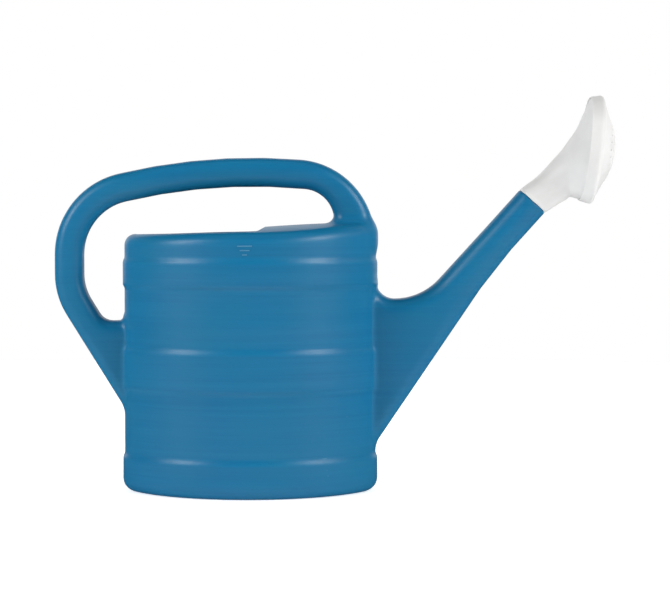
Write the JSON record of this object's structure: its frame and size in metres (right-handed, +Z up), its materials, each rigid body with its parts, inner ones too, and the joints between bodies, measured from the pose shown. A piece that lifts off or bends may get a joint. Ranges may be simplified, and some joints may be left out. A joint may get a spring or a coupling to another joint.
{
  "type": "watering can",
  "caption": "Hollow oval watering can with a bow handle moulded into it, a rear filling mouth, a slanting webbed spout and a domed rose that twists and pulls off.",
  "frame": {"origin": "middle of the tank's base, on the surface that it stands on", "axes": "+Z up, +X toward the spout and the rose, Y across; the XZ plane is the mould's parting plane and the plane of symmetry"},
  "size_m": [0.4697, 0.151, 0.3317],
  "materials": {
    "can_plastic": "satin blow-moulded polyethylene, blue, with faint level drawing streaks",
    "rose_plastic": "white injection-moulded polyethylene, slightly translucent, satin"
  },
  "bodies": {
    "can": {"tank": "can_plastic", "handle": "can_plastic", "spout": "can_plastic"},
    "socket": {"rose_socket": "rose_plastic"},
    "rose": {"rose_housing": "rose_plastic"},
    "face": {"rose_plate": "rose_plastic"}
  },
  "joints": [
    {"name": "rose_pull", "type": "slide", "parent": "can", "child": "socket", "axis": [0.6691, 0, 0.7431], "range_m": [0, 0.045]},
    {"name": "rose_twist", "type": "hinge", "parent": "socket", "child": "rose", "pos_m": [0.2368, 0, 0.2432], "axis": [0.6691, 0, 0.7431], "continuous": true},
    {"name": "plate_snap", "type": "slide", "parent": "rose", "child": "face", "axis": [0.9945, 0, -0.1045], "range_m": [0, 0.02]}
  ]
}
